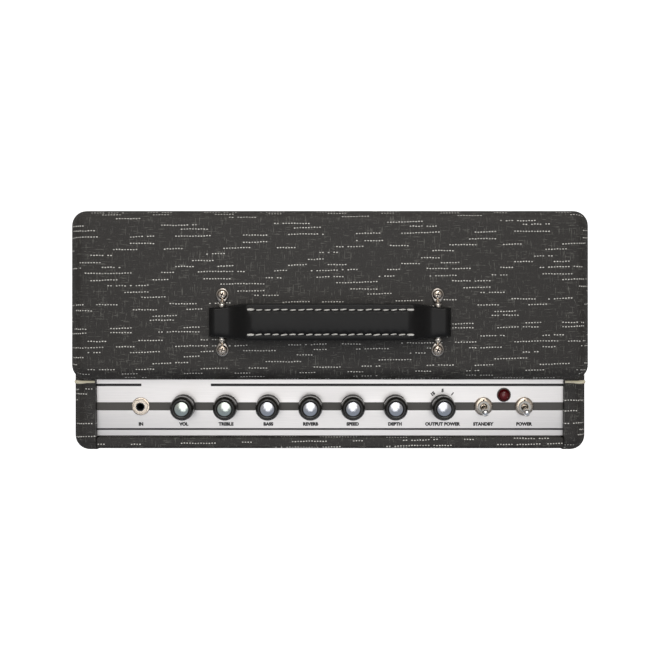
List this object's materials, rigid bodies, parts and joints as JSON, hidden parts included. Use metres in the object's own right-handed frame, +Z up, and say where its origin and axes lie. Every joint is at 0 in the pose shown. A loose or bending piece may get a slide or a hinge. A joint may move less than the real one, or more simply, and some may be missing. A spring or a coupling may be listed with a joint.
{
  "type": "guitar amp head",
  "caption": "Valve guitar amplifier head with a covered wooden cabinet, strap handle, rear control panel with turning knobs and toggle switches, and its chassis.",
  "frame": {"origin": "on the ground under the middle of the cabinet", "axes": "+X along the width, to the right as the control panel is read; -Y towards the control panel side, +Y towards the grille; +Z up"},
  "size_m": [0.521, 0.2424, 0.2682],
  "materials": {
    "covered_board": "wood under charcoal grained vinyl with rows of short white dashes",
    "bare_wood": "black stained plywood",
    "cream_cord": "satin cream vinyl piping",
    "grille_fabric": "woven dark grille cloth",
    "rubber": "matte black",
    "strap_leather": "black, softly glossy",
    "chrome": "polished nickel",
    "panel": "brushed along X, printed lines",
    "steel": "plated sheet steel",
    "iron": "black lacquered laminations",
    "knob_plastic": "glossy black with a spun metal cap",
    "black_plastic": "moulded black",
    "lens": "clear red",
    "glass": "clear tube glass with silver getter",
    "circuit": "green solder resist"
  },
  "bodies": {
    "cabinet": {"bottom_board": "covered_board", "chassis": "steel", "circuit_board": "circuit", "faceplate": "panel", "foot_front_left": "rubber", "foot_front_right": "rubber", "foot_rear_left": "rubber", "foot_rear_right": "rubber", "footswitch_jack": "black_plastic", "front_baffle": "bare_wood", "front_piping": "cream_cord", "grille_cloth": "grille_fabric", "handle_grip": "strap_leather", "handle_screw_left_front": "chrome", "handle_screw_left_rear": "chrome", "handle_screw_right_front": "chrome", "handle_screw_right_rear": "chrome", "input_jack": "black_plastic", "input_jack_nut": "chrome", "left_handle_bar": "chrome", "left_side_board": "covered_board", "left_side_piping": "cream_cord", "output_power_switch": "steel", "output_transformer": "iron", "pilot_holder": "chrome", "pilot_lens": "lens", "pot_bass": "steel", "pot_depth": "steel", "pot_reverb": "steel", "pot_speed": "steel", "pot_treble": "steel", "pot_volume": "steel", "power_inlet": "black_plastic", "power_nut": "chrome", "power_switch_body": "steel", "power_transformer": "iron", "power_tube": "glass", "preamp_tube_1": "glass", "preamp_tube_2": "glass", "preamp_tube_3": "glass", "rear_lower_panel": "covered_board", "rear_upper_panel": "covered_board", "reverb_tank": "steel", "right_handle_bar": "chrome", "right_side_board": "covered_board", "right_side_piping": "cream_cord", "speaker_jack": "black_plastic", "standby_nut": "chrome", "standby_switch_body": "steel", "top_board": "covered_board"},
    "knob_volume": {"knob_volume": "knob_plastic"},
    "knob_treble": {"knob_treble": "knob_plastic"},
    "knob_bass": {"knob_bass": "knob_plastic"},
    "knob_reverb": {"knob_reverb": "knob_plastic"},
    "knob_speed": {"knob_speed": "knob_plastic"},
    "knob_depth": {"knob_depth": "knob_plastic"},
    "knob_output_power": {"knob_output_power": "knob_plastic"},
    "standby_lever": {"standby_lever": "chrome"},
    "power_lever": {"power_lever": "chrome"},
    "fuse_drawer": {"fuse_drawer": "black_plastic"}
  },
  "joints": [
    {"name": "volume_turn", "type": "hinge", "parent": "cabinet", "child": "knob_volume", "pos_m": [-0.1494, -0.077, 0.2138], "axis": [0, -0.0785, 0.9969], "range_deg": [-150, 150]},
    {"name": "treble_turn", "type": "hinge", "parent": "cabinet", "child": "knob_treble", "pos_m": [-0.10624, -0.077, 0.2138], "axis": [0, -0.0785, 0.9969], "range_deg": [-150, 150]},
    {"name": "bass_turn", "type": "hinge", "parent": "cabinet", "child": "knob_bass", "pos_m": [-0.06308, -0.077, 0.2138], "axis": [0, -0.0785, 0.9969], "range_deg": [-150, 150]},
    {"name": "reverb_turn", "type": "hinge", "parent": "cabinet", "child": "knob_reverb", "pos_m": [-0.01992, -0.077, 0.2138], "axis": [0, -0.0785, 0.9969], "range_deg": [-150, 150]},
    {"name": "speed_turn", "type": "hinge", "parent": "cabinet", "child": "knob_speed", "pos_m": [0.02324, -0.077, 0.2138], "axis": [0, -0.0785, 0.9969], "range_deg": [-150, 150]},
    {"name": "depth_turn", "type": "hinge", "parent": "cabinet", "child": "knob_depth", "pos_m": [0.0664, -0.077, 0.2138], "axis": [0, -0.0785, 0.9969], "range_deg": [-150, 150]},
    {"name": "output_power_turn", "type": "hinge", "parent": "cabinet", "child": "knob_output_power", "pos_m": [0.1149, -0.077, 0.2138], "axis": [0, -0.0785, 0.9969], "range_deg": [-30, 30]},
    {"name": "standby_toggle", "type": "hinge", "parent": "cabinet", "child": "standby_lever", "pos_m": [0.1565, -0.07716, 0.21579], "axis": [-1, 0, 0], "range_deg": [0, 24]},
    {"name": "power_toggle", "type": "hinge", "parent": "cabinet", "child": "power_lever", "pos_m": [0.1982, -0.07716, 0.21579], "axis": [-1, 0, 0], "range_deg": [0, 24]},
    {"name": "fuse_drawer_slide", "type": "slide", "parent": "cabinet", "child": "fuse_drawer", "axis": [0, 0.0785, -0.9969], "range_m": [0, 0.012]}
  ]
}
